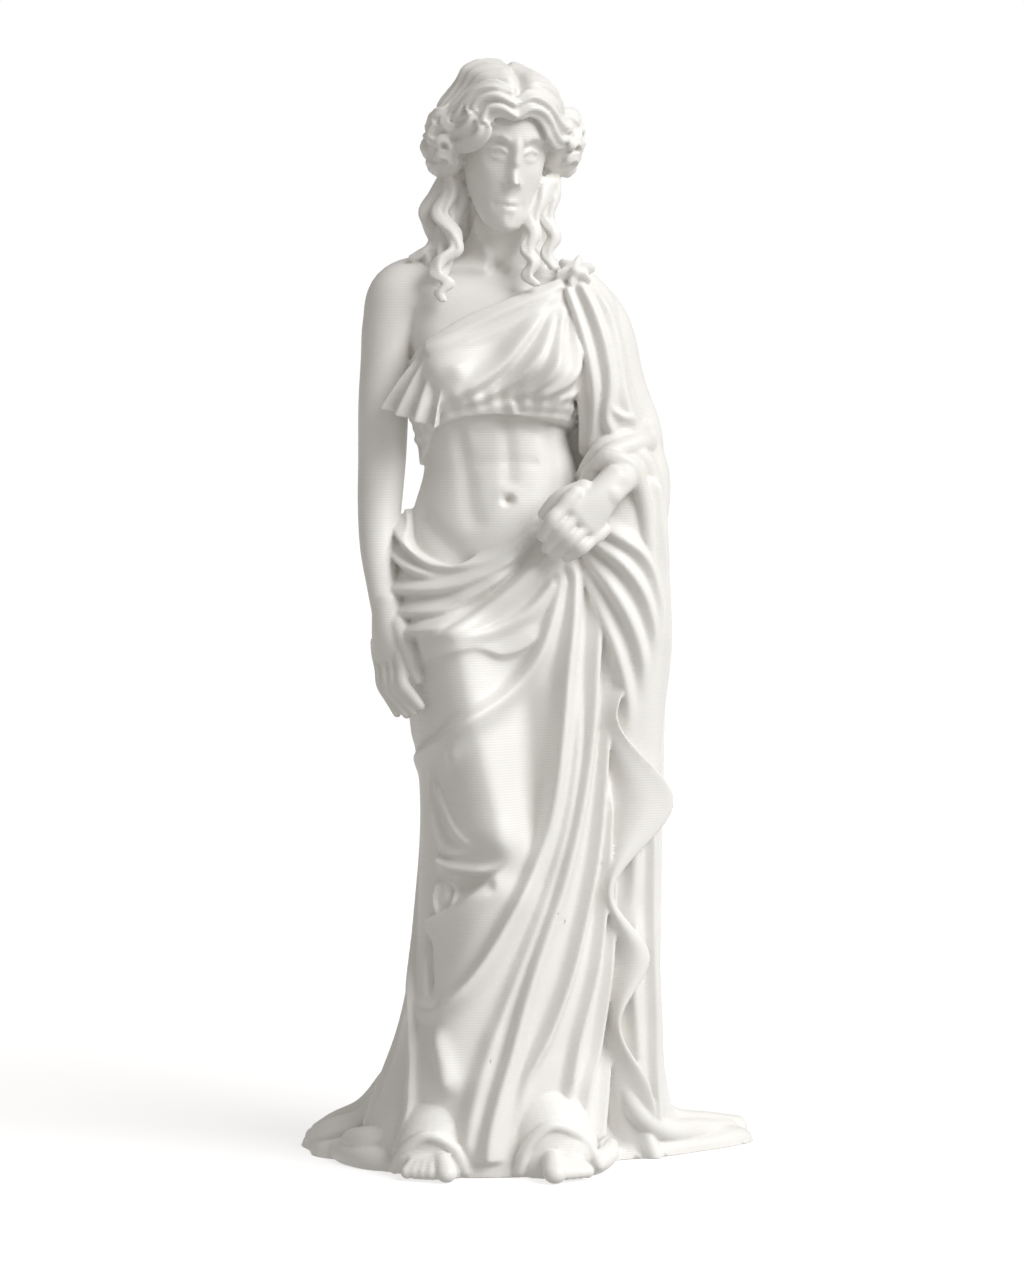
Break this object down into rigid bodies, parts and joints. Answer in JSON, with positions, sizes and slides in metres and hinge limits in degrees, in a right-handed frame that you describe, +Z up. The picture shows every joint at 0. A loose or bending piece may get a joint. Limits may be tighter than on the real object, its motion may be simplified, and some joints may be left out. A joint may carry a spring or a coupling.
{
  "type": "goddess statue",
  "caption": "White standing goddess statuette in a draped wrap and long skirt, one hand holding the cloth, cast in one piece with its train as the base.",
  "frame": {"origin": "on the flat underside, below the middle of the figure", "axes": "+Z up through the head, the figure faces -Y, +X to the figure's left"},
  "size_m": [0.1262, 0.0841, 0.3007],
  "materials": {
    "white_resin": "satin white resin with fine print layers"
  },
  "bodies": {
    "root": {"goddess_figure": "white_resin"}
  },
  "joints": []
}
